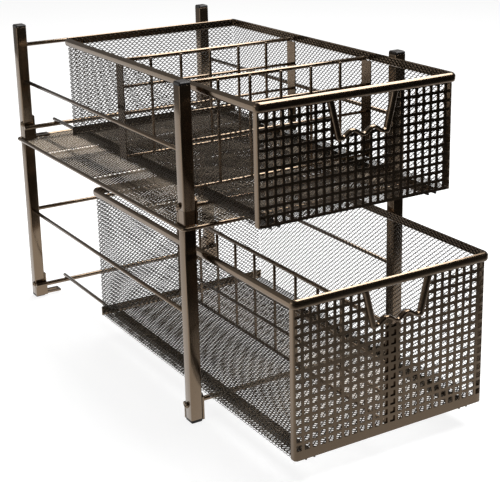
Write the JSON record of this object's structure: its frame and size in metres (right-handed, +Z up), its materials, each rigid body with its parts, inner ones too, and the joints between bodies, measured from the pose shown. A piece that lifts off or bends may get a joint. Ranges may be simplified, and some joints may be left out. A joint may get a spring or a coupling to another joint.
{
  "type": "pull out cabinet basket",
  "caption": "Two-tier cabinet organiser with mesh drawers that pull out on runner wires, movable wire dividers and a mesh shelf.",
  "frame": {"origin": "on the floor, under the middle of the whole object as it rests, with both drawers part way out", "axes": "+Z up, drawers pull out towards -Y, +X to the right of someone who faces the drawers"},
  "size_m": [0.256, 0.553, 0.328],
  "materials": {
    "bronze_coat": "glossy dark bronze powder coat",
    "mesh_coat": "dark bronze powder coat on expanded mesh",
    "black_plastic": "black moulded plastic",
    "glide_plastic": "black low-friction plastic",
    "screw_steel": "bronze coated screw head"
  },
  "bodies": {
    "frame": {"lower_post_front_left": "bronze_coat", "lower_post_front_right": "bronze_coat", "lower_post_rear_left": "bronze_coat", "lower_post_rear_right": "bronze_coat", "upper_post_front_left": "bronze_coat", "upper_post_front_right": "bronze_coat", "upper_post_rear_left": "bronze_coat", "upper_post_rear_right": "bronze_coat", "base_feet": "black_plastic", "stack_connectors": "black_plastic", "top_caps": "black_plastic", "lower_base_bar_front": "bronze_coat", "lower_base_bar_rear": "bronze_coat", "lower_runner_left": "bronze_coat", "lower_runner_right": "bronze_coat", "lower_guard_left": "bronze_coat", "lower_guard_right": "bronze_coat", "lower_rear_rod": "bronze_coat", "lower_front_brackets": "bronze_coat", "lower_rear_brackets": "bronze_coat", "upper_base_bar_front": "bronze_coat", "upper_base_bar_rear": "bronze_coat", "upper_runner_left": "bronze_coat", "upper_runner_right": "bronze_coat", "upper_guard_left": "bronze_coat", "upper_guard_right": "bronze_coat", "upper_rear_rod": "bronze_coat", "upper_front_brackets": "bronze_coat", "upper_rear_brackets": "bronze_coat", "bracket_screws": "screw_steel", "shelf_ring": "bronze_coat", "shelf_mesh": "mesh_coat", "shelf_cross_wires": "bronze_coat"},
    "lower_drawer": {"lower_drawer_rim": "bronze_coat", "lower_drawer_front": "bronze_coat", "lower_drawer_handle_trim": "bronze_coat", "lower_drawer_left_mesh": "mesh_coat", "lower_drawer_right_mesh": "mesh_coat", "lower_drawer_back_mesh": "mesh_coat", "lower_drawer_floor_mesh": "mesh_coat", "lower_drawer_rear_strip": "bronze_coat", "lower_drawer_glide_left": "glide_plastic", "lower_drawer_glide_right": "glide_plastic"},
    "upper_drawer": {"upper_drawer_rim": "bronze_coat", "upper_drawer_front": "bronze_coat", "upper_drawer_handle_trim": "bronze_coat", "upper_drawer_left_mesh": "mesh_coat", "upper_drawer_right_mesh": "mesh_coat", "upper_drawer_back_mesh": "mesh_coat", "upper_drawer_floor_mesh": "mesh_coat", "upper_drawer_rear_strip": "bronze_coat", "upper_drawer_glide_left": "glide_plastic", "upper_drawer_glide_right": "glide_plastic"},
    "upper_front_divider": {"upper_front_divider_grid": "bronze_coat", "upper_front_divider_ends": "bronze_coat"},
    "upper_rear_divider": {"upper_rear_divider_grid": "bronze_coat", "upper_rear_divider_ends": "bronze_coat"},
    "lower_divider": {"lower_divider_grid": "bronze_coat", "lower_divider_ends": "bronze_coat"}
  },
  "joints": [
    {"name": "lower_drawer_slide", "type": "slide", "parent": "frame", "child": "lower_drawer", "axis": [0, -1, 0], "range_m": [-0.145, 0.125]},
    {"name": "upper_drawer_slide", "type": "slide", "parent": "frame", "child": "upper_drawer", "axis": [0, -1, 0], "range_m": [-0.094, 0.176]},
    {"name": "upper_front_divider_slide", "type": "slide", "parent": "upper_drawer", "child": "upper_front_divider", "axis": [0, 1, 0], "range_m": [-0.1, 0.05]},
    {"name": "upper_rear_divider_slide", "type": "slide", "parent": "upper_drawer", "child": "upper_rear_divider", "axis": [0, 1, 0], "range_m": [-0.05, 0.1]},
    {"name": "lower_divider_slide", "type": "slide", "parent": "lower_drawer", "child": "lower_divider", "axis": [1, 0, 0], "range_m": [-0.06, 0.06]}
  ]
}
